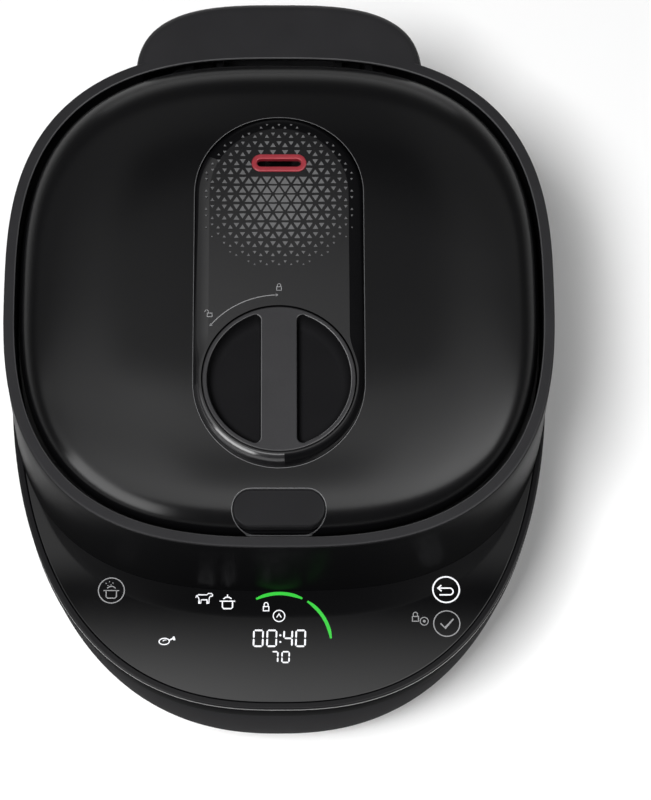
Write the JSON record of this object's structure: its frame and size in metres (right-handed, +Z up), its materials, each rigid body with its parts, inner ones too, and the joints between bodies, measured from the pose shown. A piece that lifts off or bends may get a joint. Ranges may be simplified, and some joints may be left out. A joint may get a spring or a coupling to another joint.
{
  "type": "electric pressure cooker",
  "caption": "Electric pressure cooker with a domed flip lid, a turning lock knob, a steam vent cover, a release button and a flat touch panel in front of a rounded body.",
  "frame": {"origin": "centre of the footprint box at the underside of the feet", "axes": "+Z up, -Y towards the front where the touch panel is, +X to the right seen from the front"},
  "size_m": [0.316, 0.4075, 0.2728],
  "materials": {
    "shell_plastic": "satin",
    "frame_plastic": "satin",
    "trim_plastic": "polished",
    "panel_glass": "polished",
    "lid_plastic": "satin",
    "knob_plastic": "satin",
    "inner_plastic": "moulded",
    "circuit_board": "solder mask",
    "rubber": "moulded",
    "silicone": "moulded",
    "red_silicone": "moulded",
    "steel": "brushed",
    "cast_alloy": "cast",
    "zinc_steel": "zinc plated",
    "spring_steel": "drawn",
    "brass": "plated",
    "gear_plastic": "moulded"
  },
  "bodies": {
    "base": {"lower_shell": "shell_plastic", "bottom_cover": "inner_plastic", "rubber_feet": "rubber", "base_screws": "zinc_steel", "rim_belt": "trim_plastic", "bezel": "frame_plastic", "control_panel": "panel_glass", "panel_tray": "inner_plastic", "control_board": "circuit_board", "display_module": "trim_plastic", "touch_pads": "spring_steel", "upper_frame": "frame_plastic", "top_deck": "inner_plastic", "catch_ring": "cast_alloy", "latch_striker": "zinc_steel", "outer_pot": "cast_alloy", "inner_pot": "steel", "heating_plate": "cast_alloy", "heating_element": "zinc_steel", "sensor_holder": "gear_plastic", "sensor_spring": "spring_steel", "power_board": "circuit_board", "power_inlet": "inner_plastic", "inlet_pins": "brass", "cup_sleeve": "inner_plastic", "hinge_bracket": "zinc_steel", "hinge_pin": "steel", "hinge_springs": "spring_steel"},
    "lid": {"hinge_arms": "zinc_steel", "lid_dome": "lid_plastic", "lid_base": "inner_plastic", "lid_plate": "steel", "inner_lid": "steel", "liner_nut": "inner_plastic", "sealing_gasket": "silicone", "steam_cover": "knob_plastic", "steam_duct": "inner_plastic", "vent_ring": "red_silicone", "valve_seats": "steel", "valve_shield": "steel", "button_springs": "spring_steel", "latch_pin": "steel", "lid_screws": "zinc_steel"},
    "knob": {"knob": "knob_plastic", "knob_shaft": "zinc_steel", "pinion": "gear_plastic"},
    "lock_ring": {"lock_ring": "steel"},
    "release_button": {"release_button": "trim_plastic"},
    "latch_hook": {"latch_hook": "zinc_steel"},
    "relief_valve": {"relief_valve": "inner_plastic"},
    "float_valve": {"float_valve": "red_silicone", "float_seal": "silicone"},
    "temperature_sensor": {"sensor_cap": "cast_alloy"},
    "condensate_cup": {"condensate_cup": "knob_plastic"}
  },
  "joints": [
    {"name": "lid_hinge", "type": "hinge", "parent": "base", "child": "lid", "pos_m": [0, 0.186, 0.23], "axis": [-1, 0, 0], "range_deg": [0, 80]},
    {"name": "knob_turn", "type": "hinge", "parent": "lid", "child": "knob", "pos_m": [0, -0.043, 0.26], "axis": [0, 0, 1], "range_deg": [0, 50]},
    {"name": "lock_ring_turn", "type": "hinge", "parent": "lid", "child": "lock_ring", "pos_m": [0, 0.022, 0.225], "axis": [0, 0, 1], "range_deg": [0, 17]},
    {"name": "button_press", "type": "slide", "parent": "lid", "child": "release_button", "axis": [0, 0, -1], "range_m": [0, 0.003], "stiffness_N_per_m": 900, "springref_m": -0.002, "deforming": ["button_springs"]},
    {"name": "latch_turn", "type": "hinge", "parent": "lid", "child": "latch_hook", "pos_m": [0, -0.1071, 0.2356], "axis": [1, 0, 0], "range_deg": [0, 24]},
    {"name": "relief_lift", "type": "slide", "parent": "lid", "child": "relief_valve", "axis": [0, 0, 1], "range_m": [0, 0.003]},
    {"name": "float_lift", "type": "slide", "parent": "lid", "child": "float_valve", "axis": [0, 0, 1], "range_m": [0, 0.0035]},
    {"name": "sensor_press", "type": "slide", "parent": "base", "child": "temperature_sensor", "axis": [0, 0, -1], "range_m": [0, 0.003], "stiffness_N_per_m": 600, "springref_m": -0.002, "deforming": ["sensor_spring"]},
    {"name": "cup_pull", "type": "slide", "parent": "base", "child": "condensate_cup", "axis": [0, 1, 0], "range_m": [0, 0.03]}
  ],
  "couplings": [
    {"joint": "lock_ring_turn", "follows": "knob_turn", "ratio": 0.33333},
    {"joint": "latch_turn", "follows": "button_press", "rad_per_m": 133}
  ]
}
